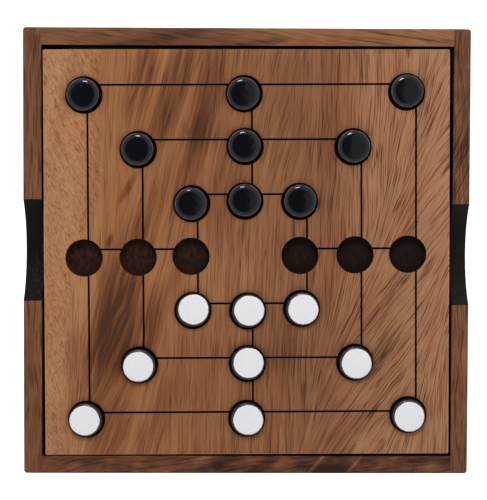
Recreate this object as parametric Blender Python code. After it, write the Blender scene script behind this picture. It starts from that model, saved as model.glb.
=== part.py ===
"""A boxed mill game (nine men's morris): a shallow wooden box, a lift-out play board and eighteen pieces.

Metres, +Z up. The origin is the middle of the box's underside, +X is the player's right when the box is
seen from above, and +Y points at the back rail.
"""

import math

import bmesh
import bpy
from mathutils import Matrix, Vector

# Fit
GAP = 0.0003  # clearance kept between pieces that touch

# Box
BOX_SIDE = 0.240
BOX_HEIGHT = 0.034
END_RAIL = 0.0094  # thickness of the back and front rails
LEFT_RAIL = 0.0098
RIGHT_RAIL = 0.0090
CORNER_RADIUS = 0.0015  # upright outer corners
EASED_EDGE = 0.0005  # small chamfer along the rails' long edges
PANEL = 0.003  # thickness of the base panel
REBATE = 0.003  # how far the base panel is let into each rail
LEDGE_WIDTH = 0.006
LEDGE_HEIGHT = 0.008
LEDGE_LENGTH = 0.200
INSIDE_LEFT = LEFT_RAIL - BOX_SIDE / 2
INSIDE_RIGHT = BOX_SIDE / 2 - RIGHT_RAIL
INSIDE_BACK = BOX_SIDE / 2 - END_RAIL

# Finger scoops: a shallow arc sunk into the top of each side rail
SCOOP_WIDTH = 0.0542
SCOOP_DEPTH = 0.012
SCOOP_RADIUS = (SCOOP_WIDTH**2 / 4 + SCOOP_DEPTH**2) / (2 * SCOOP_DEPTH)
SCOOP_FACETS = 60
LEFT_SCOOP_Y = 0.0008
RIGHT_SCOOP_Y = -0.0011

# Play board: lies a little askew in the box, and just below the top of the rails
BOARD_SIDE = 0.2184
BOARD_THICKNESS = 0.010
BOARD_RECESS = 0.0005
BOARD_CORNER = 0.0008
BOARD_CENTER = (0.0002, -0.0005)
BOARD_TWIST = math.radians(0.28)
BOARD_TOP = BOX_HEIGHT - BOARD_RECESS
BOARD_BOTTOM = BOARD_TOP - BOARD_THICKNESS

# Grooves and pockets are cut in two settings, so the two grids are a little out of register.
# Both are given in the board's own axes.
GROOVE_PITCH = 0.0294
GROOVE_CENTER = (0.0029, 0.0022)
GROOVE_TWIST = math.radians(0.13)
GROOVE_WIDTH = 0.0009
GROOVE_DEPTH = 0.0008
POCKET_PITCH = 0.02905
POCKET_CENTER = (-0.0005, -0.0017)
POCKET_TWIST = math.radians(0.56)
POCKET_RADIUS = 0.0099
POCKET_DEPTH = 0.005
POCKET_FACETS = 32
# Pockets where the drill wandered off the grid, and how far
DRILL_WANDER = {
    (-3, 3): (0.0013, 0.0002),
    (-2, 2): (0.0009, -0.0003),
    (0, 2): (0.0001, 0.0008),
    (-1, 1): (0.0002, -0.0005),
    (0, 1): (-0.0003, 0.0005),
    (-1, 0): (-0.0006, 0.0002),
    (2, 0): (0.0006, 0.0),
    (0, -1): (0.0005, -0.0006),
    (1, -1): (0.0005, 0.0004),
    (0, -3): (-0.0007, -0.0007),
    (3, -3): (-0.0005, 0.0002),
}

# Pieces
PIECE_RADIUS = 0.009
PIECE_HEIGHT = 0.008
PIECE_FOOT_CHAMFER = 0.0004
SHOULDER_RUN = 0.0018  # how far the rounded shoulder comes in from the side
SHOULDER_DROP = 0.0015  # how far it comes down from the top
SHOULDER_STEPS = 3
PIECE_FACETS = 24
PIECE_DRIFT = 0.0005  # how far a piece lies off the middle of its pocket
# Which way each piece has drifted, in degrees from +X, row by row from the back and left to right
BLACK_DRIFT_DEG = (150, 180, 60, 150, 130, 20, 180, 90, 45)
WHITE_DRIFT_DEG = (60, 25, 340, 225, 45, 330, 200, 330, 305)

WALNUT_BROWN = (0.17, 0.085, 0.045)
BOARD_TAN = (0.36, 0.18, 0.085)
PALE_PLY = (0.45, 0.30, 0.16)
BLACK_LACQUER = (0.012, 0.012, 0.014)
WHITE_PAINT = (0.78, 0.77, 0.78)


def clear_scene():
    for thing in list(bpy.data.objects):
        bpy.data.objects.remove(thing, do_unlink=True)


def make_material(name, color, roughness):
    material = bpy.data.materials.new(name)
    material.use_nodes = True
    shader = material.node_tree.nodes["Principled BSDF"]
    shader.inputs["Base Color"].default_value = (*color, 1.0)
    shader.inputs["Roughness"].default_value = roughness
    shader.inputs["Metallic"].default_value = 0.0
    return material


def add_object(name, mesh_builder, material=None):
    """Links a new object whose mesh comes from a bmesh."""
    mesh = bpy.data.meshes.new(name)
    mesh_builder.normal_update()
    mesh_builder.to_mesh(mesh)
    mesh_builder.free()
    if material:
        mesh.materials.append(material)
    thing = bpy.data.objects.new(name, mesh)
    bpy.context.scene.collection.objects.link(thing)
    return thing


def box_mesh(low, high):
    """A bmesh box between two corners."""
    low = Vector(low)
    high = Vector(high)
    builder = bmesh.new()
    bmesh.ops.create_cube(builder, size=1.0)
    bmesh.ops.scale(builder, vec=high - low, verts=builder.verts)
    bmesh.ops.translate(builder, vec=(low + high) / 2, verts=builder.verts)
    return builder


def is_upright(edge):
    ends = edge.verts
    return abs(ends[0].co.z - ends[1].co.z) > 1e-6


def round_upright_edges(builder, radius, wanted):
    """Rounds the upright edges whose middle passes the test."""
    edges = [edge for edge in builder.edges if is_upright(edge) and wanted(edge)]
    bmesh.ops.bevel(builder, geom=edges, offset=radius, segments=3, profile=0.5, affect="EDGES")


def turned_mesh(profile, facets):
    """A solid of revolution about Z. The profile runs from the axis at the foot to the axis at the top."""
    builder = bmesh.new()
    rings = []
    for radius, height in profile:
        if radius == 0:
            rings.append([builder.verts.new((0, 0, height))])
            continue
        ring = []
        for step in range(facets):
            angle = 2 * math.pi * step / facets
            ring.append(builder.verts.new((radius * math.cos(angle), radius * math.sin(angle), height)))
        rings.append(ring)
    for lower, upper in zip(rings, rings[1:]):
        for step in range(facets):
            after = (step + 1) % facets
            corners = [
                lower[step % len(lower)],
                lower[after % len(lower)],
                upper[after % len(upper)],
                upper[step % len(upper)],
            ]
            builder.faces.new(list(dict.fromkeys(corners)))
    return builder


def make_cutter(thing):
    thing.hide_render = True
    thing.display_type = "WIRE"
    return thing


def cut(thing, cutter):
    modifier = thing.modifiers.new("cut " + cutter.name, "BOOLEAN")
    modifier.operation = "DIFFERENCE"
    modifier.solver = "EXACT"
    modifier.object = cutter


def ease_edges(thing):
    modifier = thing.modifiers.new("eased edges", "BEVEL")
    modifier.width = EASED_EDGE
    modifier.segments = 1
    modifier.limit_method = "ANGLE"
    modifier.angle_limit = math.radians(60)


def shade_round(thing):
    thing.data.shade_smooth()
    thing.data.set_sharp_from_angle(angle=math.radians(35))


def make_side_rail(name, outer_x, inner_x, scoop_y, recess, material):
    """A rail that runs the full depth of the box."""
    half = BOX_SIDE / 2
    middle = (outer_x + inner_x) / 2
    builder = box_mesh((min(outer_x, inner_x), -half, 0), (max(outer_x, inner_x), half, BOX_HEIGHT))
    round_upright_edges(builder, CORNER_RADIUS, lambda edge: abs(edge.verts[0].co.x) > abs(middle))
    rail = add_object(name, builder, material)
    ease_edges(rail)
    cut(rail, make_scoop_cutter(name + "_scoop", middle, scoop_y))
    cut(rail, recess)
    shade_round(rail)
    return rail


def make_scoop_cutter(name, middle_x, scoop_y):
    """A drum lying along X, whose lower arc is the scoop."""
    builder = bmesh.new()
    bmesh.ops.create_cone(
        builder,
        cap_ends=True,
        segments=SCOOP_FACETS,
        radius1=SCOOP_RADIUS,
        radius2=SCOOP_RADIUS,
        depth=3 * LEFT_RAIL,
        matrix=Matrix.Rotation(math.radians(90), 4, "Y"),
    )
    cutter = make_cutter(add_object(name, builder))
    cutter.location = (middle_x, scoop_y, BOX_HEIGHT - SCOOP_DEPTH + SCOOP_RADIUS)
    return cutter


def make_end_rail(name, side, recess, material):
    """A rail that butts between the side rails. side is 1 for the back rail and -1 for the front."""
    low_y, high_y = sorted((side * BOX_SIDE / 2, side * INSIDE_BACK))
    low = (INSIDE_LEFT + GAP, low_y, 0)
    high = (INSIDE_RIGHT - GAP, high_y, BOX_HEIGHT)
    rail = add_object(name, box_mesh(low, high), material)
    ease_edges(rail)
    cut(rail, recess)
    return rail


def panel_mesh(margin, foot, top):
    """The base panel's outline, reaching the given margin into the rails."""
    low = (INSIDE_LEFT - margin, -INSIDE_BACK - margin, foot)
    high = (INSIDE_RIGHT + margin, INSIDE_BACK + margin, top)
    return box_mesh(low, high)


def make_panel_recess():
    """The rebate that all four rails give the base panel."""
    return make_cutter(add_object("panel_recess", panel_mesh(REBATE, -PANEL, PANEL + GAP)))


def make_base_panel(material):
    return add_object("base_panel", panel_mesh(REBATE - GAP, 0, PANEL), material)


def make_ledge(name, side, material):
    """A strip on the inner face of an end rail, which the play board lies on."""
    top = BOARD_BOTTOM - GAP
    outer = side * (INSIDE_BACK - GAP)
    inner = outer - side * LEDGE_WIDTH
    low_y, high_y = sorted((outer, inner))
    half = LEDGE_LENGTH / 2
    return add_object(name, box_mesh((-half, low_y, top - LEDGE_HEIGHT), (half, high_y, top)), material)


def turned(point, angle):
    """A plan point turned about the origin."""
    return Vector((*point, 0)) @ Matrix.Rotation(-angle, 3, "Z")


def mill_points():
    """The grid places of the 24 points, row by row from the back and left to right."""
    points = set()
    for ring in (1, 2, 3):
        for column in (-ring, 0, ring):
            for row in (-ring, 0, ring):
                if (column, row) != (0, 0):
                    points.add((column, row))
    return sorted(points, key=lambda point: (-point[1], point[0]))


def pocket_place(column, row):
    """Where a pocket is on the board, in the board's own axes."""
    wander = DRILL_WANDER.get((column, row), (0.0, 0.0))
    grid_place = turned((column * POCKET_PITCH, row * POCKET_PITCH), POCKET_TWIST)
    return Vector((*POCKET_CENTER, 0)) + grid_place + Vector((*wander, 0))


def make_pocket_cutter(name, column, row):
    profile = (
        (0, -POCKET_DEPTH),
        (POCKET_RADIUS, -POCKET_DEPTH),
        (POCKET_RADIUS, POCKET_DEPTH),
        (0, POCKET_DEPTH),
    )
    cutter = add_object(name, turned_mesh(profile, POCKET_FACETS))
    cutter.location = pocket_place(column, row)
    return make_cutter(cutter)


def place_groove(cutter):
    cutter.location = (*GROOVE_CENTER, 0)
    cutter.rotation_euler = (0, 0, GROOVE_TWIST)
    return make_cutter(cutter)


def make_square_groove(name, half):
    """A cutter for one of the three nested squares."""
    builder = bmesh.new()
    corner_signs = ((-1, -1), (1, -1), (1, 1), (-1, 1))

    def square(reach, height):
        return [builder.verts.new((reach * x, reach * y, height)) for x, y in corner_signs]

    inside = half - GROOVE_WIDTH / 2
    outside = half + GROOVE_WIDTH / 2
    loops = (
        square(outside, -GROOVE_DEPTH),
        square(outside, GROOVE_DEPTH),
        square(inside, GROOVE_DEPTH),
        square(inside, -GROOVE_DEPTH),
    )
    for index, loop in enumerate(loops):
        following = loops[(index + 1) % len(loops)]
        for side in range(4):
            after = (side + 1) % 4
            builder.faces.new((loop[side], loop[after], following[after], following[side]))
    return place_groove(add_object(name, builder))


def make_line_groove(name, quarter):
    """A cutter for one of the four lines that cross the middles of the squares."""
    half_width = GROOVE_WIDTH / 2
    builder = box_mesh(
        (GROOVE_PITCH, -half_width, -GROOVE_DEPTH),
        (3 * GROOVE_PITCH, half_width, GROOVE_DEPTH),
    )
    bmesh.ops.rotate(builder, matrix=Matrix.Rotation(quarter * math.pi / 2, 3, "Z"), verts=builder.verts)
    return place_groove(add_object(name, builder))


def make_play_board(material):
    """The board, with its origin in the middle of its top face."""
    half = BOARD_SIDE / 2
    builder = box_mesh((-half, -half, -BOARD_THICKNESS), (half, half, 0))
    round_upright_edges(builder, BOARD_CORNER, lambda edge: True)
    board = add_object("play_board", builder, material)
    board.location = (*BOARD_CENTER, BOARD_TOP)
    board.rotation_euler = (0, 0, BOARD_TWIST)
    ease_edges(board)

    cutters = [make_square_groove(f"square_groove_{ring}", ring * GROOVE_PITCH) for ring in (1, 2, 3)]
    cutters += [make_line_groove(f"line_groove_{quarter}", quarter) for quarter in range(4)]
    for column, row in mill_points():
        cutters.append(make_pocket_cutter(f"pocket_{column}_{row}", column, row))
    for cutter in cutters:
        cutter.parent = board
        cut(board, cutter)
    return board


def piece_profile():
    """Foot to top: a small foot chamfer, a straight side and a rounded shoulder."""
    profile = [
        (0, 0),
        (PIECE_RADIUS - PIECE_FOOT_CHAMFER, 0),
        (PIECE_RADIUS, PIECE_FOOT_CHAMFER),
    ]
    for step in range(SHOULDER_STEPS + 1):
        angle = math.pi / 2 * step / SHOULDER_STEPS
        radius = PIECE_RADIUS - SHOULDER_RUN * (1 - math.cos(angle))
        height = PIECE_HEIGHT - SHOULDER_DROP * (1 - math.sin(angle))
        profile.append((radius, height))
    profile.append((0, PIECE_HEIGHT))
    return profile


def make_piece_set(prefix, places, drifts, board, material):
    """Nine pieces of one colour, each standing in its pocket. They share one mesh."""
    mesh = None
    for number, ((column, row), drift) in enumerate(zip(places, drifts), start=1):
        name = f"{prefix}_piece_{number}"
        if mesh is None:
            piece = add_object(name, turned_mesh(piece_profile(), PIECE_FACETS), material)
            shade_round(piece)
            mesh = piece.data
        else:
            piece = bpy.data.objects.new(name, mesh)
            bpy.context.scene.collection.objects.link(piece)
        place = pocket_place(column, row) + turned((PIECE_DRIFT, 0), math.radians(drift))
        piece.parent = board
        piece.location = (place.x, place.y, GAP - POCKET_DEPTH)


def build():
    clear_scene()
    rail_wood = make_material("rail wood", WALNUT_BROWN, 0.55)
    board_wood = make_material("board wood", BOARD_TAN, 0.5)
    panel_wood = make_material("panel wood", PALE_PLY, 0.7)
    black = make_material("black lacquer", BLACK_LACQUER, 0.15)
    white = make_material("white paint", WHITE_PAINT, 0.5)

    recess = make_panel_recess()
    make_side_rail("left_rail", -BOX_SIDE / 2, INSIDE_LEFT, LEFT_SCOOP_Y, recess, rail_wood)
    make_side_rail("right_rail", BOX_SIDE / 2, INSIDE_RIGHT, RIGHT_SCOOP_Y, recess, rail_wood)
    make_end_rail("back_rail", 1, recess, rail_wood)
    make_end_rail("front_rail", -1, recess, rail_wood)
    make_base_panel(panel_wood)
    make_ledge("back_ledge", 1, rail_wood)
    make_ledge("front_ledge", -1, rail_wood)

    board = make_play_board(board_wood)
    black_places = [point for point in mill_points() if point[1] > 0]
    white_places = [point for point in mill_points() if point[1] < 0]
    make_piece_set("black", black_places, BLACK_DRIFT_DEG, board, black)
    make_piece_set("white", white_places, WHITE_DRIFT_DEG, board, white)


build()
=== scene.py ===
import math

import bmesh
import bpy
from mathutils import Matrix, Vector, noise


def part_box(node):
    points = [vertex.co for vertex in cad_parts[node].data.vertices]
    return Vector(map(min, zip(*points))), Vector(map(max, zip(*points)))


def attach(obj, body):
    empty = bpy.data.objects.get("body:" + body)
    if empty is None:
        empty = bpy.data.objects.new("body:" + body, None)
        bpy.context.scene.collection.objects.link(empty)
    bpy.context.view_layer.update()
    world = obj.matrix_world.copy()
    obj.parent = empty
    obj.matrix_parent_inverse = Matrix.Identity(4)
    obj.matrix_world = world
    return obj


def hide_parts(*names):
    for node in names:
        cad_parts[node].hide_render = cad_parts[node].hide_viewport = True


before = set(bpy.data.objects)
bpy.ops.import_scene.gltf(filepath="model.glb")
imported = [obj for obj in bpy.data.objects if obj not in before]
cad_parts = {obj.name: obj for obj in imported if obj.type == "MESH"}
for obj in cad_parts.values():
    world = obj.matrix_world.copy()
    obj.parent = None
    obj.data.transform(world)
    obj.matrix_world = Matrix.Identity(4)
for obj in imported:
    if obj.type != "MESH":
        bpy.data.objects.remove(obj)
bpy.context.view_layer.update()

# The CAD part's driving dimensions, in metres
SCOOP_WIDTH = 0.0542
SCOOP_DEPTH = 0.012
SCOOP_RADIUS = (SCOOP_WIDTH**2 / 4 + SCOOP_DEPTH**2) / (2 * SCOOP_DEPTH)
LEFT_SCOOP_Y = 0.0008
RIGHT_SCOOP_Y = -0.0011
REBATE = 0.003
BOARD_SIDE = 0.2184
BOARD_THICKNESS = 0.010
BOARD_CENTER = (0.0002, -0.0005)
BOARD_TWIST = math.radians(0.28)
GROOVE_PITCH = 0.0294
GROOVE_CENTER = (0.0029, 0.0022)
GROOVE_TWIST = math.radians(0.13)
GROOVE_WIDTH = 0.0009
GROOVE_DEPTH = 0.0008
POCKET_PITCH = 0.02905
POCKET_CENTER = (-0.0005, -0.0017)
POCKET_TWIST = math.radians(0.56)
POCKET_RADIUS = 0.0099
POCKET_DEPTH = 0.005
# How far some pockets are off their grid, by column and row
DRILL_WANDER = {
    (-3, 3): (0.0013, 0.0002),
    (-2, 2): (0.0009, -0.0003),
    (0, 2): (0.0001, 0.0008),
    (-1, 1): (0.0002, -0.0005),
    (0, 1): (-0.0003, 0.0005),
    (-1, 0): (-0.0006, 0.0002),
    (2, 0): (0.0006, 0.0),
    (0, -1): (0.0005, -0.0006),
    (1, -1): (0.0005, 0.0004),
    (0, -3): (-0.0007, -0.0007),
    (3, -3): (-0.0005, 0.0002),
}

# Read from the frame
BOX_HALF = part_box("right_rail")[1].x
BOX_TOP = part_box("left_rail")[1].z
BOARD_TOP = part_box("play_board")[1].z
PANEL_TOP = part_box("base_panel")[1].z
INSIDE_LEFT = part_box("left_rail")[1].x
INSIDE_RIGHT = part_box("right_rail")[0].x
INSIDE_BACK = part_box("back_rail")[0].y

MM = 0.001
SQUARE_CORNERS = ((-1, -1), (1, -1), (1, 1), (-1, 1))


# ---------------------------------------------------------------- shader helpers


def tone(red, green, blue):
    """A colour given as 0 to 255 display values, as the linear colour that shaders take."""
    linear = []
    for value in (red, green, blue):
        share = value / 255
        linear.append(((share + 0.055) / 1.055) ** 2.4 if share > 0.04 else share / 12.92)
    return tuple(linear)


class Shader:
    """One material's node tree, with a short call for each node or small group of nodes.

    The calls take numbers, colours or the outputs of earlier calls.
    """

    def __init__(self, name):
        self.material = bpy.data.materials.new(name)
        self.material.use_nodes = True
        self.tree = self.material.node_tree
        self.surface = self.tree.nodes["Principled BSDF"]

    def link(self, value, socket):
        if isinstance(value, bpy.types.NodeSocket):
            self.tree.links.new(value, socket)
        elif isinstance(value, tuple) and socket.type == "RGBA":
            socket.default_value = (*value[:3], 1.0)
        else:
            socket.default_value = value

    def node(self, kind, **settings):
        made = self.tree.nodes.new(kind)
        for key, value in settings.items():
            setattr(made, key, value)
        return made

    def place(self):
        """The point's own coordinates in millimetres, as x, y and z."""
        coordinates = self.node("ShaderNodeTexCoord")
        scale = self.node("ShaderNodeVectorMath", operation="SCALE")
        self.link(coordinates.outputs["Object"], scale.inputs[0])
        scale.inputs["Scale"].default_value = 1 / MM
        parts = self.node("ShaderNodeSeparateXYZ")
        self.link(scale.outputs[0], parts.inputs[0])
        return parts.outputs[0], parts.outputs[1], parts.outputs[2]

    def math(self, operation, *values):
        made = self.node("ShaderNodeMath", operation=operation)
        for socket, value in zip(made.inputs, values):
            self.link(value, socket)
        return made.outputs[0]

    def add(self, *values):
        total = values[0]
        for value in values[1:]:
            total = self.math("ADD", total, value)
        return total

    def times(self, *values):
        product = values[0]
        for value in values[1:]:
            product = self.math("MULTIPLY", product, value)
        return product

    def less(self, value, taken):
        return self.math("SUBTRACT", value, taken)

    def absolute(self, value):
        return self.math("ABSOLUTE", value)

    def length(self, x, y):
        """How long the step from nothing to x and y is."""
        return self.math("SQRT", self.add(self.times(x, x), self.times(y, y)))

    def tilted(self, x, y, degrees):
        """How far a place is across and along a line that leans right of upright."""
        angle = math.radians(degrees)
        across = self.less(self.times(x, math.cos(angle)), self.times(y, math.sin(angle)))
        along = self.add(self.times(x, math.sin(angle)), self.times(y, math.cos(angle)))
        return across, along

    def texture(self, *parts, detail=2.0, roughness=0.5):
        """Noise over three coordinates.

        A coordinate may be a pair: a value, and how fast the noise changes along it.
        """
        spread = self.node("ShaderNodeCombineXYZ")
        for socket, part in zip(spread.inputs, parts):
            self.link(self.times(*part) if isinstance(part, tuple) else part, socket)
        made = self.node("ShaderNodeTexNoise")
        self.link(spread.outputs[0], made.inputs["Vector"])
        made.inputs["Scale"].default_value = 1.0
        made.inputs["Detail"].default_value = detail
        made.inputs["Roughness"].default_value = roughness
        return made.outputs["Fac"]

    def fade(self, value, start, end, low=0.0, high=1.0):
        """low where value is at start, high where it is at end, and smooth between."""
        made = self.node("ShaderNodeMapRange", interpolation_type="SMOOTHSTEP")
        for socket, given in zip(made.inputs, (value, start, end, low, high)):
            self.link(given, socket)
        return made.outputs[0]

    def curve(self, value, stops):
        """A number that changes along value, through (place, number) stops."""
        first, last = stops[0][0], stops[-1][0]
        low = min(number for place, number in stops)
        span = max(number for place, number in stops) - low
        shares = [((place - first) / (last - first), (number - low) / span) for place, number in stops]
        along = self.times(self.less(value, first), 1 / (last - first))
        share = self.ramp(along, [(place, (number,) * 3) for place, number in shares])
        return self.add(low, self.times(share, span))

    def ramp(self, value, stops):
        """A colour that changes with value from 0 to 1, through (place, colour) stops."""
        made = self.node("ShaderNodeValToRGB")
        elements = made.color_ramp.elements
        while len(elements) < len(stops):
            elements.new(0.5)
        for element, (place, color) in zip(elements, stops):
            element.position = place
            element.color = (*color, 1.0)
        self.link(value, made.inputs["Fac"])
        return made.outputs["Color"]

    def mix(self, factor, first, second, kind="MIX"):
        """Goes from the colour first to the colour second."""
        made = self.node("ShaderNodeMix", data_type="RGBA", blend_type=kind)
        self.link(factor, made.inputs["Factor"])
        self.link(first, made.inputs[6])
        self.link(second, made.inputs[7])
        return made.outputs[2]

    def tint(self, factor, color, tint):
        """The colour multiplied by the tint, as far as factor says."""
        return self.mix(factor, color, tint, "MULTIPLY")

    def blend(self, factor, first, second):
        """Goes from the number first to the number second."""
        return self.add(first, self.times(factor, self.less(second, first)))

    def nook(self, distance):
        """1 out in the open, less where other surfaces stand close by."""
        made = self.node("ShaderNodeAmbientOcclusion", samples=4)
        made.inputs["Distance"].default_value = distance
        return made.outputs["AO"]

    def bump(self, height, distance, strength):
        made = self.node("ShaderNodeBump")
        made.inputs["Strength"].default_value = strength
        made.inputs["Distance"].default_value = distance
        self.link(height, made.inputs["Height"])
        self.link(made.outputs[0], self.surface.inputs["Normal"])

    def finish(self, color, roughness, specular):
        self.link(color, self.surface.inputs["Base Color"])
        self.link(roughness, self.surface.inputs["Roughness"])
        self.link(specular, self.surface.inputs["Specular IOR Level"])
        return self.material


# ---------------------------------------------------------------- wood
#
# Places in materials are in mm. Darkness runs from 0, the palest sapwood, to 1, the darkest heartwood.

WARMER = (1.0, 0.92, 0.77)
COOLER = (1.0, 0.99, 1.05)
REDDER = (1.03, 0.96, 0.94)
# Painted shade: the dark brown that wood is darkened towards where shade falls
PAINTED_SHADE = tone(30, 15, 8)
FIBER_DEPTH = 0.1 * MM
FIBER_STRENGTH = 0.6
WOOD_SHEEN = 0.18


def figure(shader, x, y, spots, streaks):
    """The summed darkening of a list of soft spots with ragged edges.

    A spot is x and y of its middle, how far it leans right of upright in degrees, half its length, half its
    width, and how much it darkens.
    """
    total = 0.0
    for place_x, place_y, lean, half_length, half_width, strength in spots:
        across, along = shader.tilted(shader.less(x, place_x), shader.less(y, place_y), lean)
        reach = shader.length(shader.times(across, 1 / half_width), shader.times(along, 1 / half_length))
        ragged = shader.add(reach, shader.times(streaks, 0.75))
        total = shader.add(total, shader.fade(ragged, 1.75, 0.55, 0.0, strength))
    return total


# ---------------------------------------------------------------- the board's wood

BOARD_TONES = (
    (0.0, tone(186, 142, 103)),
    (0.25, tone(165, 118, 81)),
    (0.5, tone(139, 92, 61)),
    (0.75, tone(109, 66, 39)),
    (1.0, tone(74, 43, 25)),
)
BOARD_FIGURE = (
    (-56, 94, 15, 20, 6, 0.27),
    (-38, 92, 15, 24, 5.5, 0.28),
    (-46, 71, 6, 11, 6, 0.14),
    (-20, 84, 13, 26, 6, 0.28),
    (-27, 56, 13, 18, 5, 0.20),
    (-12, 34, 8, 26, 7, 0.11),
    (-64, 34, 30, 8, 1.6, 0.26),
    (-52, 22, 24, 16, 5, 0.14),
    (-74, 5.5, 20, 3.2, 1.4, 0.45),
    (-38, -14, 12, 9, 3, 0.18),
    (-70, -28, 16, 34, 10, 0.34),
    (-78, -60, 18, 34, 8, 0.31),
    (-58, -50, 22, 26, 7, 0.32),
    (-92, -54, 8, 12, 4.5, 0.24),
    (-101, -62, 0, 60, 9, 0.05),
    (-74, -98, 24, 16, 8, 0.27),
    (-50, -92, 26, 22, 7, 0.14),
    (44, 76, 2, 56, 5, 0.12),
    (22, 80, 2, 26, 9, 0.08),
    (26, -72, 0, 30, 5, 0.14),
    (70, -57, 38, 14, 5, 0.18),
    (60, -92, 46, 16, 6, 0.14),
    (74, -26, 34, 22, 6, 0.10),
    (20, -50, 4, 16, 7, 0.10),
)

# How far the grain leans to the right of upright, in degrees, at places across the board
UPPER_LEAN = (
    (-110, -30), (-87, -24), (-76, -8), (-65, 6), (-50, 16), (-36, 14), (-15, 6), (10, 9), (30, 8),
    (45, -4), (62, -3), (80, 5), (110, 8),
)
LOWER_LEAN = (
    (-110, -28), (-101, -22), (-93, -2), (-84, 18), (-68, 22), (-52, 12), (-38, 2), (-25, -8), (-8, 0),
    (15, -4), (30, 0), (50, 12), (70, 14), (90, 10), (110, 5),
)
SWIRL_MIDDLE = 92.7
SWIRL_SLOPE = 0.379
SWIRL_LEAN = 26

# The leans that the grain is drawn at; the first is the flecked wood along the left edge
GRAIN_RUNS = (-24, 2, 13, 24, 37)

# Where the board's top face ends and its rounded edge begins, from the board's middle
EDGE_START = 108.4
EDGE_END = 108.8

# A paler patch left of the middle: its middle, half its width and half its length
PATCH_X = -14.0
PATCH_Y = -16.0
PATCH_HALF_WIDTH = 34
PATCH_HALF_LENGTH = 30

# At places across the board: darkness, and how much the streaks, the vessels and the warm tint count
BOARD_SHADES = (
    (-110, 0.17), (-90, 0.20), (-76, 0.36), (-50, 0.39), (-20, 0.48), (30, 0.50), (48, 0.47), (64, 0.33),
    (110, 0.23),
)
RAGGEDNESS = ((-110, 0.2), (-92, 0.24), (-80, 0.48), (-20, 0.43), (30, 0.37), (60, 0.25), (110, 0.23))
VESSEL_DEPTH = (
    (-110, 0.34), (-88, 0.34), (-76, 0.24), (-40, 0.26), (0, 0.30), (40, 0.36), (58, 0.48), (74, 0.58),
    (110, 0.56),
)
WARMTH = ((-110, 0.25), (-92, 0.4), (-76, 0.95), (-46, 1.0), (-20, 0.6), (20, 0.1), (110, 0.0))

GROOVE_BLACK = tone(9, 5, 4)
GROOVE_WORN = tone(44, 26, 16)
POCKET_DARK = tone(33, 24, 21)
# Painted light: the browner floor and the lighter wall of the pockets towards the left
LIT_POCKET_BROWN = tone(58, 35, 22)
LIT_POCKET_WALL = tone(88, 54, 34)
POCKET_SCRATCH = tone(66, 55, 46)


def grain_lean(shader, x, y, wander):
    """The grain's lean: mild on the left, upright in the middle, and swept over in a swirl on the right."""
    upper = shader.curve(x, UPPER_LEAN)
    lower = shader.curve(x, LOWER_LEAN)
    even = shader.blend(shader.fade(y, 55.0, -55.0), upper, lower)
    from_swirl = shader.less(x, shader.add(SWIRL_MIDDLE, shader.times(y, SWIRL_SLOPE)))
    swirl = shader.fade(shader.absolute(from_swirl), 42.0, 3.0, 0.0, SWIRL_LEAN)
    return shader.add(even, swirl, shader.times(wander, 14.0))


def run_share(shader, lean, index):
    """1 where the grain leans nearest to one of GRAIN_RUNS, going over to 0 at the next ones."""
    share = 1.0
    if index > 0:
        border = (GRAIN_RUNS[index] + GRAIN_RUNS[index - 1]) / 2
        share = shader.times(shader.fade(lean, border - 3, border + 3), share)
    if index < len(GRAIN_RUNS) - 1:
        border = (GRAIN_RUNS[index] + GRAIN_RUNS[index + 1]) / 2
        share = shader.times(shader.fade(lean, border + 3, border - 3), share)
    return share


def grain_layers(shader, x, y, z, lean, wander):
    """Streaks and vessel lines laid along a few straight runs, each shown where the grain leans that way."""
    streaks = 0.0
    vessels = 0.0
    for index, run in enumerate(GRAIN_RUNS):
        flecked = index == 0
        tilted, along = shader.tilted(x, y, run)
        across = shader.add(tilted, shader.times(wander, 5.0), shader.times(z, 0.8))
        soft = shader.texture((across, 0.36), (along, 0.014), index, detail=4.0, roughness=0.62)
        dash_pitch, dash_run = (1.35, 0.30) if flecked else (1.5, 0.045)
        dashes = shader.texture((across, dash_pitch), (along, dash_run), index + 9, detail=1.0)
        line_run = 0.15 if flecked else 0.018
        contour = shader.texture((across, 0.78), (along, line_run), index + 5, detail=1.0)
        on_line = shader.fade(shader.absolute(shader.less(contour, 0.5)), 0.042, 0.010)
        fine = shader.add(
            shader.times(shader.fade(dashes, 0.55, 0.62), 0.55),
            shader.times(on_line, shader.fade(soft, 0.3, 0.55), 0.8),
        )
        share = run_share(shader, lean, index)
        streaks = shader.add(streaks, shader.times(soft, share))
        vessels = shader.add(vessels, shader.times(fine, share))
    return streaks, vessels


def board_reach(shader, x, y):
    """How far out towards the nearest edge of the play board a place is, from the board's middle."""
    from_x = shader.less(x, BOARD_CENTER[0] / MM)
    from_y = shader.less(y, BOARD_CENTER[1] / MM)
    across = shader.add(from_x, shader.times(from_y, math.sin(BOARD_TWIST)))
    along = shader.less(from_y, shader.times(from_x, math.sin(BOARD_TWIST)))
    return shader.math("MAXIMUM", shader.absolute(across), shader.absolute(along))


def board_darkness(shader, x, y, reach, bands, streaks, vessels):
    """How dark the board's wood is: zones, bands, figure, streaks, vessels and a painted highlight along the
    rounded edge.
    """
    from_patch = shader.length(
        shader.times(shader.less(x, PATCH_X), 1 / PATCH_HALF_WIDTH),
        shader.times(shader.less(y, PATCH_Y), 1 / PATCH_HALF_LENGTH),
    )
    ragged = shader.less(streaks, 0.5)
    fibrous = shader.fade(streaks, 0.36, 0.62, 0.6, 1.2)
    return shader.add(
        shader.curve(x, BOARD_SHADES),
        shader.fade(from_patch, 1.3, 0.2, 0.0, -0.10),
        # Painted highlight: the board's rounded edge is lighter
        shader.fade(reach, EDGE_START, EDGE_END, 0.0, -0.14),
        shader.fade(y, -70.0, -105.0, 0.0, -0.035),
        shader.times(bands, 0.36),
        shader.times(ragged, shader.curve(x, RAGGEDNESS)),
        shader.times(figure(shader, x, y, BOARD_FIGURE, ragged), fibrous),
        shader.times(vessels, shader.curve(x, VESSEL_DEPTH)),
    )


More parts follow.
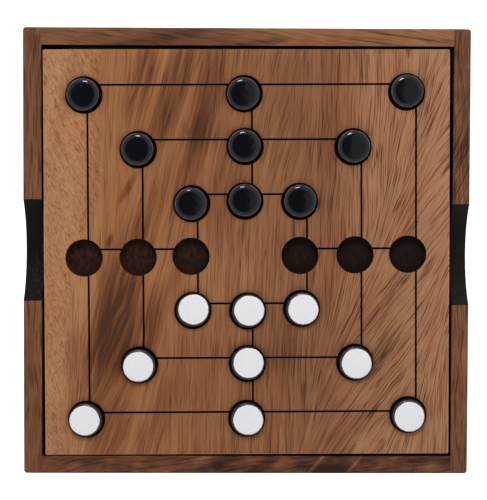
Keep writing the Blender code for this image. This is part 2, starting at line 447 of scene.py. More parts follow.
def pocket_stain_and_light(shader, x, y, depth):
    """Pockets stained dark with fine scratches on their floors, and painted light towards the left: browner
    smeared floors, lighter walls.
    """
    # Painted light: the pockets towards the left get browner floors and lighter walls
    painted_light_left = shader.fade(x, 20.0, -60.0)
    smear = shader.texture((x, 0.45), (y, 0.25), 2.0, detail=3.0)
    floor = shader.mix(shader.times(painted_light_left, shader.fade(smear, 0.35, 0.62)), POCKET_DARK, LIT_POCKET_BROWN)
    scratches = shader.texture(shader.add(shader.times(x, 1.1), shader.times(y, -0.4)), (y, 0.22), 8.0)
    floor = shader.mix(shader.times(shader.fade(scratches, 0.60, 0.72), 0.6), floor, POCKET_SCRATCH)
    wall = shader.mix(painted_light_left, POCKET_DARK, LIT_POCKET_WALL)
    on_floor = shader.fade(depth, POCKET_DEPTH / MM - 0.4, POCKET_DEPTH / MM - 0.1)
    return shader.mix(on_floor, wall, floor)


def board_wood():
    """Flat-sawn tropical hardwood: a pale flecked edge on the left, dark figure, and grain that fans out.

    Below its top face the grooves are blackened and the pockets are stained, with painted light in the
    pockets on the left.
    """
    shader = Shader("board wood")
    x, y, z = shader.place()
    wander = shader.less(shader.texture((x, 0.03), (y, 0.02), (z, 0.1)), 0.5)
    lean = grain_lean(shader, x, y, wander)
    streaks, vessels = grain_layers(shader, x, y, z, lean, wander)
    slant = shader.add(x, shader.times(y, -0.16), shader.times(wander, 9.0), shader.times(z, 0.8))
    bands = shader.less(shader.texture((slant, 0.075), (y, 0.006), 0.0, detail=3.0, roughness=0.55), 0.5)
    reach = board_reach(shader, x, y)

    darkness = board_darkness(shader, x, y, reach, bands, streaks, vessels)
    wood = shader.ramp(darkness, BOARD_TONES)
    wood = shader.tint(shader.curve(x, WARMTH), wood, WARMER)
    wood = shader.tint(shader.fade(x, 10.0, 80.0), wood, COOLER)
    hue = shader.texture((slant, 0.06), (y, 0.02), 4.0, detail=3.0)
    wood = shader.tint(shader.fade(hue, 0.45, 0.65), wood, REDDER)
    # Painted shade: the wood darkens towards a dark brown where other surfaces stand within 4 mm, as round
    # the pieces
    wood = shader.mix(shader.nook(4 * MM), PAINTED_SHADE, wood)

    depth = shader.less(BOARD_TOP / MM, z)
    off_edge = shader.fade(reach, EDGE_END, EDGE_START)
    in_groove = shader.times(shader.fade(depth, 0.0, 0.04), off_edge)
    in_pocket = shader.times(shader.fade(depth, 1.0, 1.6), off_edge)
    blot = shader.texture((x, 0.9), (y, 0.9), z)
    groove = shader.mix(shader.fade(blot, 0.62, 0.72), GROOVE_BLACK, GROOVE_WORN)
    color = shader.mix(in_groove, wood, groove)
    color = shader.mix(in_pocket, color, pocket_stain_and_light(shader, x, y, depth))

    roughness = shader.add(0.46, shader.times(bands, 0.2), shader.times(vessels, 0.1))
    shader.bump(shader.add(streaks, shader.times(vessels, -0.5)), FIBER_DEPTH, FIBER_STRENGTH)
    sheen = shader.blend(in_groove, WOOD_SHEEN, 0.05)
    return shader.finish(color, shader.blend(in_groove, roughness, 0.75), sheen)


# ---------------------------------------------------------------- the rails' wood

RAIL_TONES = (
    (0.0, tone(174, 123, 85)),
    (0.3, tone(142, 94, 63)),
    (0.55, tone(109, 70, 46)),
    (0.8, tone(79, 47, 31)),
    (1.0, tone(47, 28, 20)),
)


class Grain:
    """How streaky, cloudy and lined a rail's wood is, its tint, and how its grain slopes along the rail."""

    def __init__(self, streaky, cloudy, lined, tint, slope=0.0):
        self.streaky = streaky
        self.cloudy = cloudy
        self.lined = lined
        self.tint = tint
        self.slope = slope


LEFT_GRAIN = Grain(streaky=0.55, cloudy=0.35, lined=0.26, tint=(0.96, 0.96, 0.90))
RIGHT_GRAIN = Grain(streaky=0.6, cloudy=0.4, lined=0.32, tint=(0.97, 0.98, 0.98))
BACK_GRAIN = Grain(streaky=0.6, cloudy=0.3, lined=0.20, tint=(0.93, 0.94, 0.90), slope=0.14)
FRONT_GRAIN = Grain(streaky=0.35, cloudy=1.2, lined=0.24, tint=(0.97, 0.91, 0.81), slope=-0.12)

# Darkness at places along each rail, from the left or from the front
LEFT_SHADES = ((-120, 0.55), (-60, 0.52), (-30, 0.46), (0, 0.45), (30, 0.49), (60, 0.59), (120, 0.54))
RIGHT_SHADES = ((-120, 0.54), (-70, 0.48), (-30, 0.40), (0, 0.44), (30, 0.48), (60, 0.54), (120, 0.53))
BACK_SHADES = (
    (-120, 0.44), (-90, 0.47), (-65, 0.55), (-42, 0.60), (-20, 0.56), (0, 0.41), (30, 0.36), (60, 0.30),
    (120, 0.25),
)
FRONT_SHADES = (
    (-120, 0.66), (-95, 0.68), (-75, 0.73), (-50, 0.63), (-30, 0.60), (-15, 0.68), (-3, 0.76), (12, 0.68),
    (22, 0.66), (35, 0.86), (50, 0.93), (65, 0.86), (80, 0.75), (100, 0.68), (120, 0.60),
)
BACK_FIGURE = (
    (-50, 113.5, 80, 34, 2.0, 0.16),
    (4, 111.5, 82, 16, 1.6, 0.20),
    (88, 115.2, 98, 24, 0.4, 0.42),
    (70, 112.5, 97, 14, 0.35, 0.30),
)
FRONT_FIGURE = (
    (-14, -113, 62, 16, 3.2, 0.24),
    (8, -117, 58, 12, 2.6, 0.22),
    (44, -118, 50, 16, 3.5, 0.16),
    (38, -115, 42, 7, 0.8, -0.30),
    (58, -116, 42, 7, 0.7, -0.28),
    (78, -113, 60, 8, 1.4, -0.16),
    (98, -116, 60, 6, 1.6, -0.14),
)

# The stretch of the right rail whose grain breaks out in slanting lines
HATCH_FROM = 24
HATCH_TO = 96
HATCH_LEAN = 24
HATCHED = (0.42, 0.36, 0.36)

LEFT_BLACK = tone(20, 16, 17)
RIGHT_BLACK = tone(30, 23, 21)
SCOOP_SCUFFED = tone(42, 36, 36)


def rail_wood(shader, along, side, z, grain, shades, spots=()):
    """Dark hardwood with its grain along the rail, as its colour and roughness."""
    wander = shader.less(shader.texture((along, 0.02), (side, 0.05), (z, 0.05)), 0.5)
    rise = shader.times(z, 0.9)
    across = shader.add(side, shader.times(along, grain.slope), rise, shader.times(wander, 9.0))
    bands = shader.texture((across, 0.2), (along, 0.012), 1.0, detail=3.0)
    streaks = shader.texture((across, 0.7), (along, 0.03), 3.0, detail=5.0, roughness=0.7)
    dashes = shader.texture((across, 1.3), (along, 0.05), 7.0, detail=1.0)
    clouds = shader.texture((along, 0.09), (side, 0.14), rise, detail=4.0)
    ragged = shader.less(streaks, 0.5)
    fibrous = shader.fade(streaks, 0.36, 0.62, 0.7, 1.2)

    # The shades and spots belong to the top face; further down the sides one usual shade takes over
    below_top = shader.less(BOX_TOP / MM, z)
    usual_shade = sum(shade for place, shade in shades) / len(shades)
    slanted = shader.add(along, shader.times(below_top, shader.add(wander, 0.5), 3.0))
    shade = shader.curve(slanted, shades)
    marks = figure(shader, along, side, spots, ragged)
    darkness = shader.add(
        shader.blend(shader.fade(below_top, 1.0, 9.0, 0.0, 0.7), shade, usual_shade),
        shader.times(shader.less(bands, 0.5), grain.streaky * 0.6),
        shader.times(ragged, grain.streaky),
        shader.times(shader.less(clouds, 0.5), grain.cloudy),
        shader.times(marks, fibrous, shader.fade(below_top, 5.0, 0.8)),
        shader.times(shader.fade(dashes, 0.53, 0.65), grain.lined),
    )

    hue = shader.texture((along, 0.05), (across, 0.12), 6.0, detail=3.0)
    wood = shader.tint(shader.fade(hue, 0.42, 0.62), shader.ramp(darkness, RAIL_TONES), REDDER)
    wood = shader.tint(1.0, wood, grain.tint)
    # Painted shade: more than 1.6 mm below the top, the rail's sides are darkened most of the way to a dark
    # brown
    wood = shader.mix(shader.fade(below_top, 1.6, 0.5), shader.mix(0.8, wood, PAINTED_SHADE), wood)
    shader.bump(shader.add(streaks, shader.times(dashes, -0.5)), FIBER_DEPTH, FIBER_STRENGTH)
    return wood, shader.add(0.5, shader.times(ragged, 0.2))


def end_rail_wood(name, grain, shades, spots):
    shader = Shader(name)
    x, y, z = shader.place()
    wood, roughness = rail_wood(shader, x, y, z, grain, shades, spots)
    return shader.finish(wood, roughness, WOOD_SHEEN)


def hatch(shader, x, y, z, wood):
    """Wood whose grain breaks out in dark slanting lines along a stretch of the rail."""
    across, along = shader.tilted(x, y, HATCH_LEAN)
    lines = shader.texture(shader.add(across, shader.times(z, 1.8)), (along, 0.035), 1.0)
    stretch = shader.times(
        shader.fade(y, HATCH_FROM - 6, HATCH_FROM + 4),
        shader.fade(y, HATCH_TO, HATCH_TO - 40, 0.25, 1.0),
    )
    return shader.tint(shader.times(shader.fade(lines, 0.48, 0.58), stretch), wood, HATCHED)


def side_rail_wood(name, grain, shades, inner_x, scoop_y, black, hatched=False):
    """Rail wood with the scooped arc brushed black, a little over the edge and scuffed towards the front."""
    shader = Shader(name)
    x, y, z = shader.place()
    wood, roughness = rail_wood(shader, y, x, z, grain, shades)
    if hatched:
        wood = hatch(shader, x, y, z, wood)
    axis_z = (BOX_TOP - SCOOP_DEPTH + SCOOP_RADIUS) / MM
    from_axis = shader.length(shader.less(y, scoop_y / MM), shader.less(z, axis_z))
    brushed = shader.texture((x, 0.6), (y, 0.10), z, detail=3.0)
    from_wall = shader.absolute(shader.less(x, inner_x / MM))
    edge = shader.add(
        from_axis,
        shader.times(shader.less(brushed, 0.5), 0.5),
        shader.fade(from_wall, 0.1, 0.0, 0.0, -0.7),
    )
    painted = shader.fade(edge, SCOOP_RADIUS / MM + 0.22, SCOOP_RADIUS / MM + 0.08)
    scuffed = shader.times(shader.fade(brushed, 0.50, 0.72), shader.fade(y, 20.0, -15.0))
    color = shader.mix(painted, wood, shader.mix(scuffed, black, SCOOP_SCUFFED))
    sheen = shader.blend(painted, WOOD_SHEEN, 0.06)
    return shader.finish(color, shader.blend(painted, roughness, 0.6), sheen)


PANEL_TONES = (tone(196, 160, 118), tone(160, 120, 80))
LEDGE_TONES = (tone(150, 108, 76), tone(108, 72, 50))


def hidden_wood(name, pale, dark):
    """Plain sanded wood for the parts inside and underneath."""
    shader = Shader(name)
    x, y, z = shader.place()
    wander = shader.texture((x, 0.02), (y, 0.02), z)
    rows = shader.add(shader.times(y, 0.25), shader.times(wander, 5.0))
    rings = shader.texture((x, 0.012), rows, (z, 0.3), detail=4.0, roughness=0.6)
    pores = shader.texture((x, 0.15), (y, 2.4), z)
    color = shader.mix(shader.add(shader.times(rings, 0.8), shader.times(pores, 0.25)), pale, dark)
    shader.bump(pores, FIBER_DEPTH, 0.5)
    return shader.finish(color, 0.62, 0.2)


# ---------------------------------------------------------------- lacquer and paint

LACQUER_BLACK = tone(9, 9, 12)
LACQUER_DUSTY = tone(20, 19, 22)
LACQUER_WORN = tone(112, 76, 64)
LACQUER_SHEEN = (0.80, 0.90, 1.0)
WORN_RADIUS = 8.35  # where a black piece's lacquer is rubbed thin, in mm

CAP_RADIUS = 8.0  # of the white paint, in mm
CAP_SHIFT = 0.45  # how far the white paint is off the middle of its piece, in mm
PAINT_TONES = (tone(228, 226, 228), tone(232, 230, 232))
PAINT_SMUDGE = tone(176, 172, 172)
BODY_TONES = (tone(26, 18, 16), tone(60, 44, 38))


def black_lacquer():
    """Glossy black, a little dusty, and rubbed thin and brown along the rim of the top."""
    shader = Shader("black lacquer")
    x, y, z = shader.place()
    dust = shader.texture((x, 3.0), (y, 3.0), z)
    patchy = shader.texture((x, 0.35), (y, 0.35), (z, 0.35))
    off_ring = shader.absolute(shader.less(shader.length(x, y), WORN_RADIUS))
    worn = shader.times(shader.fade(off_ring, 0.34, 0.08), shader.fade(patchy, 0.3, 0.6, 0.3, 1.0))
    black = shader.mix(shader.fade(dust, 0.6, 0.8), LACQUER_BLACK, LACQUER_DUSTY)
    color = shader.mix(worn, black, LACQUER_WORN)
    ripple = shader.texture((x, 0.2), (y, 0.2), z, detail=1.0)
    shader.bump(shader.add(ripple, shader.times(dust, 0.003)), 0.1 * MM, 1.0)
    roughness = shader.add(0.10, shader.times(worn, 0.25), shader.fade(dust, 0.55, 0.8, 0.0, 0.1))
    shader.link(LACQUER_SHEEN, shader.surface.inputs["Specular Tint"])
    return shader.finish(color, roughness, 0.39)


def white_topped():
    """Dark lacquer under a white painted top, a little off its middle and with an uneven rim."""
    shader = Shader("white topped lacquer")
    x, y, z = shader.place()
    uneven = shader.texture((x, 0.22), (y, 0.22), z, detail=3.0)
    chips = shader.texture((x, 0.9), (y, 0.9), z)
    rim = shader.add(
        shader.length(shader.less(x, CAP_SHIFT), y),
        shader.times(shader.less(uneven, 0.5), 0.7),
        shader.times(shader.less(chips, 0.5), 0.35),
    )
    white = shader.times(shader.fade(rim, CAP_RADIUS + 0.1, CAP_RADIUS - 0.1), shader.fade(z, 5.2, 5.7))
    brush = shader.texture((x, 0.5), (y, 0.5), z, detail=3.0)
    smudge = shader.fade(shader.texture((x, 0.35), (y, 0.9), z), 0.68, 0.76, 0.0, 0.4)
    paint = shader.mix(shader.fade(brush, 0.3, 0.7), *PAINT_TONES)
    paint = shader.mix(smudge, paint, PAINT_SMUDGE)
    color = shader.mix(white, shader.mix(brush, *BODY_TONES), paint)
    shader.bump(brush, 0.08 * MM, 0.4)
    return shader.finish(color, shader.blend(white, 0.25, 0.5), 0.4)


# ---------------------------------------------------------------- mesh helpers


def add_piece(name, builder, body, material, stands_for, sharp=35):
    """Links a finished mesh as a piece that rides on a body and stands for a CAD node."""
    mesh = bpy.data.meshes.new(name)
    bmesh.ops.recalc_face_normals(builder, faces=builder.faces)
    builder.to_mesh(mesh)
    builder.free()
    mesh.materials.append(material)
    mesh.shade_smooth()
    mesh.set_sharp_from_angle(angle=math.radians(sharp))
    piece = bpy.data.objects.new(name, mesh)
    bpy.context.scene.collection.objects.link(piece)
    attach(piece, body)
    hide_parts(stands_for)
    return piece


def scratch(name, builder):
    """A temporary object that a Boolean reads."""
    mesh = bpy.data.meshes.new(name)
    bmesh.ops.recalc_face_normals(builder, faces=builder.faces)
    builder.to_mesh(mesh)
    builder.free()
    thing = bpy.data.objects.new(name, mesh)
    bpy.context.scene.collection.objects.link(thing)
    return thing


def carved(base, cutters, keep=()):
    """The base mesh with the cutters taken away and only what lies inside keep left, as a new bmesh."""
    for operation, others in (("INTERSECT", keep), ("DIFFERENCE", cutters)):
        for other in others:
            modifier = base.modifiers.new(operation, "BOOLEAN")
            modifier.operation = operation
            modifier.solver = "EXACT"
            modifier.object = other
    bpy.context.view_layer.update()
    evaluated = base.evaluated_get(bpy.context.evaluated_depsgraph_get())
    builder = bmesh.new()
    builder.from_mesh(evaluated.to_mesh())
    evaluated.to_mesh_clear()
    builder.transform(base.matrix_world)
    for modifier in list(base.modifiers):
        base.modifiers.remove(modifier)
    bmesh.ops.remove_doubles(builder, verts=builder.verts, dist=1e-7)
    return builder


def discard(things):
    for thing in things:
        mesh = thing.data
        bpy.data.objects.remove(thing)
        bpy.data.meshes.remove(mesh)


def box_mesh(low, high):
    low = Vector(low)
    high = Vector(high)
    builder = bmesh.new()
    bmesh.ops.create_cube(builder, size=1.0)
    bmesh.ops.scale(builder, vec=high - low, verts=builder.verts)
    bmesh.ops.translate(builder, vec=(low + high) / 2, verts=builder.verts)
    return builder


def turned_mesh(profile, facets):
    """A solid of revolution about Z, from the axis at the foot to the axis at the top."""
    builder = bmesh.new()
    rings = []
    for radius, height in profile:
        count = 1 if radius == 0 else facets
        ring = []
        for step in range(count):
            angle = 2 * math.pi * step / facets
            ring.append(builder.verts.new((radius * math.cos(angle), radius * math.sin(angle), height)))
        rings.append(ring)
    for lower, upper in zip(rings, rings[1:]):
        for step in range(facets):
            after = (step + 1) % facets
            corners = (
                lower[step % len(lower)],
                lower[after % len(lower)],
                upper[after % len(upper)],
                upper[step % len(upper)],
            )
            builder.faces.new(list(dict.fromkeys(corners)))
    return builder


def arc(center, radius, start, end, steps):
    """Points of an arc in a profile, from one angle to another in degrees."""
    points = []
    for step in range(steps + 1):
        angle = math.radians(start + (end - start) * step / steps)
        points.append((center[0] + radius * math.cos(angle), center[1] + radius * math.sin(angle)))
    return points


def join_loops(builder, loops):
    """Walls from each closed loop of corners to the next."""
    for lower, upper in zip(loops, loops[1:]):
        for side in range(len(lower)):
            after = (side + 1) % len(lower)
            builder.faces.new((lower[side], lower[after], upper[after], upper[side]))


def bevel_edges(builder, width, segments, wanted):
    edges = [edge for edge in builder.edges if wanted(edge)]
    bmesh.ops.bevel(builder, geom=edges, offset=width, segments=segments, profile=0.5, affect="EDGES")


def upright(edge):
    return abs(edge.verts[0].co.z - edge.verts[1].co.z) > 1e-6


def level_at(height):
    return lambda edge: all(abs(vert.co.z - height) < 1e-6 for vert in edge.verts)


# ---------------------------------------------------------------- the box

RAIL_JOINT = 0.00006  # what can be seen of the glue line between two rails
RIM_FLARE = 0.0004  # how far the rails' inner top edges are rounded off
SCOOP_FLARE = 0.0003
DRUM_FACETS = 180


def inside_cutter(below):
    """What is cut out of the middle of the rails, flared a little at the top."""
    levels = (
        (below, 0.0),
        (BOX_TOP - RIM_FLARE, 0.0),
        (BOX_TOP - RIM_FLARE * 0.3, RIM_FLARE * 0.3),
        (BOX_TOP, RIM_FLARE),
        (BOX_TOP + PANEL_TOP, RIM_FLARE),
    )
    builder = bmesh.new()
    loops = []
    for height, margin in levels:
        left = INSIDE_LEFT - margin
        right = INSIDE_RIGHT + margin
        back = INSIDE_BACK + margin
        corners = ((left, -back), (right, -back), (right, back), (left, back))
        loops.append([builder.verts.new((x, y, height)) for x, y in corners])
    join_loops(builder, loops)
    builder.faces.new(loops[0])
    builder.faces.new(loops[-1])
    return scratch("hole", builder)


def frame_ring():
    """All four rails in one ring, with its edges rounded as after assembly."""
    outer = box_mesh((-BOX_HALF, -BOX_HALF, 0), (BOX_HALF, BOX_HALF, BOX_TOP))
    bevel_edges(outer, 0.0016, 4, upright)
    bevel_edges(outer, 0.0007, 3, level_at(BOX_TOP))
    bevel_edges(outer, 0.0004, 2, level_at(0))
    ring = scratch("ring", outer)
    below = -PANEL_TOP
    hole = inside_cutter(below)
    clearance = 0.0003
    low = (INSIDE_LEFT - REBATE, -INSIDE_BACK - REBATE, below)
    high = (INSIDE_RIGHT + REBATE, INSIDE_BACK + REBATE, PANEL_TOP + clearance)
    rebate = scratch("rebate", box_mesh(low, high))
    solid = scratch("solid ring", carved(ring, (hole, rebate)))
    discard((ring, hole, rebate))
    return solid


def scoop_drum(outer_x, inner_x, scoop_y):
    """The drum whose lower arc is the finger scoop, with a small flare at both faces of the rail."""
    half = abs(outer_x - inner_x) / 2
    flared = SCOOP_RADIUS + SCOOP_FLARE
    profile = (
        (0, -2 * half),
        (flared, -2 * half),
        (flared, -half),
        (SCOOP_RADIUS, -half + SCOOP_FLARE),
        (SCOOP_RADIUS, half - SCOOP_FLARE),
        (flared, half),
        (flared, 2 * half),
        (0, 2 * half),
    )
    builder = turned_mesh(profile, DRUM_FACETS)
    bmesh.ops.rotate(builder, matrix=Matrix.Rotation(math.radians(90), 3, "Y"), verts=builder.verts)
    place = ((outer_x + inner_x) / 2, scoop_y, BOX_TOP - SCOOP_DEPTH + SCOOP_RADIUS)
    bmesh.ops.translate(builder, vec=place, verts=builder.verts)
    return scratch("scoop", builder)


def cut_rail(ring, label, low, high, cutters, material):
    """Makes a rail from what lies in the ring between the corners low and high."""
    block = scratch("block", box_mesh(low, high))
    rail = carved(ring, cutters, (block,))
    discard((block, *cutters))
    add_piece(f"{label}_rail_wood", rail, "box", material, f"{label}_rail")


def build_rails():
    ring = frame_ring()
    outside = 2 * BOX_HALF
    left_wood = side_rail_wood(
        "left rail wood", LEFT_GRAIN, LEFT_SHADES, INSIDE_LEFT, LEFT_SCOOP_Y, LEFT_BLACK
    )
    right_wood = side_rail_wood(
        "right rail wood", RIGHT_GRAIN, RIGHT_SHADES, INSIDE_RIGHT, RIGHT_SCOOP_Y, RIGHT_BLACK, hatched=True
    )
    side_rails = (
        ("left", -BOX_HALF, INSIDE_LEFT, LEFT_SCOOP_Y, left_wood),
        ("right", BOX_HALF, INSIDE_RIGHT, RIGHT_SCOOP_Y, right_wood),
    )
    for label, outer_x, inner_x, scoop_y, material in side_rails:
        low, high = sorted((inner_x, 2 * outer_x))
        drum = scoop_drum(outer_x, inner_x, scoop_y)
        cut_rail(ring, label, (low, -outside, -1), (high, outside, 1), (drum,), material)
    left = INSIDE_LEFT + RAIL_JOINT
    right = INSIDE_RIGHT - RAIL_JOINT
    end_rails = (
        ("back", 0, outside, end_rail_wood("back rail wood", BACK_GRAIN, BACK_SHADES, BACK_FIGURE)),
        ("front", -outside, 0, end_rail_wood("front rail wood", FRONT_GRAIN, FRONT_SHADES, FRONT_FIGURE)),
    )
    for label, low, high, material in end_rails:
        cut_rail(ring, label, (left, low, -1), (right, high, 1), (), material)
    discard((ring,))


def build_hidden_parts():
    panel = hidden_wood("panel wood", *PANEL_TONES)
    ledge = hidden_wood("ledge wood", *LEDGE_TONES)
    parts = (
        ("base_panel", "panel_wood", panel),
        ("back_ledge", "rail_wood", ledge),
        ("front_ledge", "rail_wood", ledge),
    )
    for node, slot, material in parts:
        builder = box_mesh(*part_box(node))
        bevel_edges(builder, 0.0003, 2, lambda edge: True)
        add_piece(f"{node}_wood", builder, "box", material, node)


# ---------------------------------------------------------------- the play board

POCKET_FACETS = 72


def turned(point, angle):
    """The point turned round the middle, in radians."""
    return Vector((*point, 0)) @ Matrix.Rotation(-angle, 3, "Z")


def mill_points():
    """The grid places of the 24 points, row by row from the back and left to right."""
    points = set()
    for ring in (1, 2, 3):
        for column in (-ring, 0, ring):
            for row in (-ring, 0, ring):
                if (column, row) != (0, 0):
                    points.add((column, row))
    return sorted(points, key=lambda point: (-point[1], point[0]))


def pocket_cutter(column, row):
    """Wall, rounded rim, the fine ring that the bit's rim scribes in the floor, and its centre mark."""
    rim = 0.00025
    scribe = 0.00015
    mark = 0.0009
    above = 0.002
    profile = [
        (0, -POCKET_DEPTH - mark),
        (0.0007, -POCKET_DEPTH - 0.0003),
        (mark, -POCKET_DEPTH),
        (POCKET_RADIUS - 4 * scribe, -POCKET_DEPTH),
        (POCKET_RADIUS - scribe, -POCKET_DEPTH - scribe),
        (POCKET_RADIUS, -POCKET_DEPTH - scribe),
    ]
    profile += arc((POCKET_RADIUS + rim, -rim), rim, 180, 90, 3)
    profile += [(POCKET_RADIUS + rim, above), (0, above)]
    builder = turned_mesh(profile, POCKET_FACETS)
    wander = DRILL_WANDER.get((column, row), (0.0, 0.0))
    grid_place = turned((column * POCKET_PITCH, row * POCKET_PITCH), POCKET_TWIST)
    place = Vector((*POCKET_CENTER, 0)) + grid_place + Vector((*wander, 0))
    bmesh.ops.translate(builder, vec=place, verts=builder.verts)
    return scratch(f"pocket {column} {row}", builder)


def groove_outline():
    """A groove's cutter in section, up one side and down the other, as reach from its middle and height."""
    half = GROOVE_WIDTH / 2
    lip = 0.00012
    above = 0.0005
    right = [
        (half * 0.7, -GROOVE_DEPTH),
        (half, -GROOVE_DEPTH * 0.75),
        (half, -lip),
        (half + lip, 0.0),
        (half + lip, above),
    ]
    left = [(-reach, height) for reach, height in reversed(right)]
    return right + left


def square_groove(half):
    builder = bmesh.new()
    loops = []
    for reach, height in groove_outline():
        side = half + reach
        loops.append([builder.verts.new((side * x, side * y, height)) for x, y in SQUARE_CORNERS])
    join_loops(builder, [*loops, loops[0]])
    return place_groove(builder, f"square groove {half}")


def line_groove(quarter):
    """The groove from the smallest square to the largest, turned by so many quarters."""
    builder = bmesh.new()
    outline = groove_outline()
    ends = []
    for along in (GROOVE_PITCH, 3 * GROOVE_PITCH):
        ends.append([builder.verts.new((along, reach, height)) for reach, height in outline])
    join_loops(builder, ends)
    builder.faces.new(ends[0])
    builder.faces.new(ends[1])
    bmesh.ops.rotate(builder, matrix=Matrix.Rotation(quarter * math.pi / 2, 3, "Z"), verts=builder.verts)
    return place_groove(builder, f"line groove {quarter}")


def place_groove(builder, name):
    bmesh.ops.rotate(builder, matrix=Matrix.Rotation(GROOVE_TWIST, 3, "Z"), verts=builder.verts)
    bmesh.ops.translate(builder, vec=(*GROOVE_CENTER, 0), verts=builder.verts)
    return scratch(name, builder)


def build_play_board():
    half = BOARD_SIDE / 2
    builder = box_mesh((-half, -half, -BOARD_THICKNESS), (half, half, 0))
    bevel_edges(builder, 0.0009, 3, upright)
    bevel_edges(builder, 0.0005, 3, level_at(0))
    bevel_edges(builder, 0.0003, 2, level_at(-BOARD_THICKNESS))
    blank = scratch("blank", builder)
    cutters = [square_groove(ring * GROOVE_PITCH) for ring in (1, 2, 3)]
    cutters += [line_groove(quarter) for quarter in range(4)]
    cutters += [pocket_cutter(column, row) for column, row in mill_points()]
    board = carved(blank, cutters)
    discard([blank, *cutters])
    place = Matrix.Translation((*BOARD_CENTER, BOARD_TOP)) @ Matrix.Rotation(BOARD_TWIST, 4, "Z")
    board.transform(place)
    add_piece("play_board_wood", board, "board", board_wood(), "play_board", sharp=30)


# ---------------------------------------------------------------- the pieces

# How far a piece's shoulder comes in from the side and down from the top
SHOULDERS = {"black": (0.0036, 0.0024), "white": (0.0020, 0.0013)}
SHOULDER_STEPS = 14
PIECE_FACETS = 64
CROWN = 3.2  # how steep the lacquer's crown is where the shoulder starts, in degrees
UNEVEN = 0.00004

# Which way the white paint of each piece is off its middle, in degrees from the player's right
CAP_DIRECTIONS = (60, 25, 340, 225, 45, 330, 200, 330, 305)

# How far the sawn top of a piece slopes down to the right, in degrees; the others are level
TOP_SLOPE = {
    "black_piece_2": 1.7,
    "black_piece_3": -1.2,
    "black_piece_7": 2.4,
    "black_piece_8": 1.3,
    "black_piece_9": -0.9,
}


def piece_profile(radius, brow, crown, shoulder_run, shoulder_drop):
    """Half a piece's outline: a chamfered foot, a round shoulder up to the brow, and a crowned top."""
    foot = 0.0005
    flat = radius - shoulder_run
    profile = [(0, 0), (radius - 0.0006, 0)]
    profile += arc((radius - foot, foot), foot, -60, 0, 3)
    for step in range(SHOULDER_STEPS + 1):
        angle = math.pi / 2 * step / SHOULDER_STEPS
        reach = flat + shoulder_run * math.cos(angle)
        profile.append((reach, brow - shoulder_drop * (1 - math.sin(angle))))
    for share in (0.85, 0.7, 0.55, 0.4, 0.25, 0.1):
        profile.append((flat * share, brow + crown * (1 - share**2)))
    profile.append((0, brow + crown))
    return profile


def piece_builder(node, seed, shoulder_run, shoulder_drop):
    """A slice of dowel under thick lacquer, its top sloped as it was sawn and very slightly uneven."""
    low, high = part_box(node)
    radius = (high.x - low.x) / 2
    crown = (radius - shoulder_run) * math.tan(math.radians(CROWN)) / 2
    brow = high.z - low.z - crown
    profile = piece_profile(radius, brow, crown, shoulder_run, shoulder_drop)
    builder = turned_mesh(profile, PIECE_FACETS)
    slope = math.tan(math.radians(TOP_SLOPE.get(node, 0.0)))
    for vert in builder.verts:
        if vert.co.z > brow - shoulder_drop * 0.99:
            swell = noise.noise(Vector((vert.co.x * 90, vert.co.y * 90, seed * 3.7)))
            vert.co.z += UNEVEN * (swell - 1) - slope * vert.co.x - abs(slope) * radius
    return builder


def build_pieces():
    materials = {"black": black_lacquer(), "white": white_topped()}
    first_seeds = {"black": 0, "white": 20}
    for color, material in materials.items():
        for number in range(1, 10):
            node = f"{color}_piece_{number}"
            name = f"{color}_disc_{number}"
            low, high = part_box(node)
            builder = piece_builder(node, first_seeds[color] + number, *SHOULDERS[color])
            disc = add_piece(name, builder, f"{color}_{number}", material, node, sharp=50)
            disc.location = ((low.x + high.x) / 2, (low.y + high.y) / 2, low.z)
            if color == "white":
                disc.rotation_euler = (0, 0, math.radians(CAP_DIRECTIONS[number - 1]))


# ---------------------------------------------------------------- stage, light and camera

FLOOR_REACH = 6.0
FLOOR_DROP = 0.0002
FLOOR_TONE = (0.9, 0.9, 0.9)
FLOOR_GLOW = 0.9

# How bright the studio is at heights from the horizon, 0, to straight overhead, 1
STUDIO_BRIGHTNESS = ((0.0, 0.67), (0.35, 0.96), (0.80, 0.83), (0.955, 0.13), (1.0, 0.07))
STUDIO_TINT = (0.96, 0.98, 1.02)
STUDIO_STRENGTH = 1.085

# Name, place, what it is aimed at, width, depth and power in watts
SOFTBOXES = (
    ("back softbox", (-0.08, 0.60, 0.62), (0, 0, 0), 0.16, 0.12, 2.2),
    ("dim overhead softbox", (0.44, 0.05, 1.24), (0.44, 0.05, 0), 0.62, 0.9, 0.75),
)

CAMERA_PLACE = Vector((-0.0108, 0.0303, BOX_TOP + 0.740))
CAMERA_AIM = Vector((-0.0017, 0.0011, BOX_TOP))
CAMERA_ROLL = math.radians(0.19)
CAMERA_LENS = 99.1


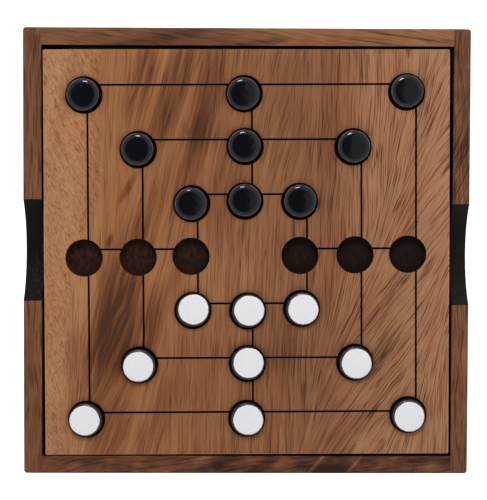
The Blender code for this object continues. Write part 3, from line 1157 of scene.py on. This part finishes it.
def build_stage():
    """A pale floor just under the box, glowing evenly."""
    shader = Shader("pale floor")
    shader.link(FLOOR_TONE, shader.surface.inputs["Base Color"])
    shader.link(0.9, shader.surface.inputs["Roughness"])
    shader.link((1, 1, 1), shader.surface.inputs["Emission Color"])
    shader.link(FLOOR_GLOW, shader.surface.inputs["Emission Strength"])
    mesh = bpy.data.meshes.new("floor")
    corners = [(FLOOR_REACH * x, FLOOR_REACH * y, 0) for x, y in SQUARE_CORNERS]
    mesh.from_pydata(corners, [], [(0, 1, 2, 3)])
    mesh.materials.append(shader.material)
    floor = bpy.data.objects.new("floor", mesh)
    floor.location.z = -FLOOR_DROP
    bpy.context.scene.collection.objects.link(floor)


def add_softbox(name, place, target, width, depth, power):
    light = bpy.data.lights.new(name, "AREA")
    light.shape = "RECTANGLE"
    light.size = width
    light.size_y = depth
    light.energy = power
    lamp = bpy.data.objects.new(name, light)
    lamp.location = place
    lamp.rotation_euler = (Vector(target) - Vector(place)).to_track_quat("-Z", "Y").to_euler()
    bpy.context.scene.collection.objects.link(lamp)


def build_light():
    """A studio that is dark overhead and bright lower down, with two softboxes."""
    world = bpy.data.worlds.new("studio")
    world.use_nodes = True
    nodes = world.node_tree.nodes
    links = world.node_tree.links
    direction = nodes.new("ShaderNodeTexCoord")
    parts = nodes.new("ShaderNodeSeparateXYZ")
    sky = nodes.new("ShaderNodeValToRGB")
    links.new(direction.outputs["Generated"], parts.inputs[0])
    links.new(parts.outputs[2], sky.inputs["Fac"])
    links.new(sky.outputs["Color"], nodes["Background"].inputs["Color"])
    nodes["Background"].inputs["Strength"].default_value = STUDIO_STRENGTH
    elements = sky.color_ramp.elements
    elements.remove(elements[1])
    for height, brightness in STUDIO_BRIGHTNESS:
        element = elements[0] if height == 0.0 else elements.new(height)
        element.color = (*(brightness * share for share in STUDIO_TINT), 1)
    bpy.context.scene.world = world
    for softbox in SOFTBOXES:
        add_softbox(*softbox)
    bpy.context.scene.view_settings.view_transform = "Standard"


def build_camera():
    """The photo's view, almost straight down."""
    data = bpy.data.cameras.new("camera")
    data.lens = CAMERA_LENS
    camera = bpy.data.objects.new("camera", data)
    forward = (CAMERA_AIM - CAMERA_PLACE).normalized()
    right = forward.cross(Vector((0, 1, 0))).normalized()
    up = right.cross(forward)
    turn = Matrix((right, up, -forward)).transposed().to_4x4() @ Matrix.Rotation(CAMERA_ROLL, 4, "Z")
    camera.matrix_world = Matrix.Translation(CAMERA_PLACE) @ turn
    bpy.context.scene.collection.objects.link(camera)
    bpy.context.scene.camera = camera


build_rails()
build_hidden_parts()
build_play_board()
build_pieces()
build_stage()
build_light()
build_camera()
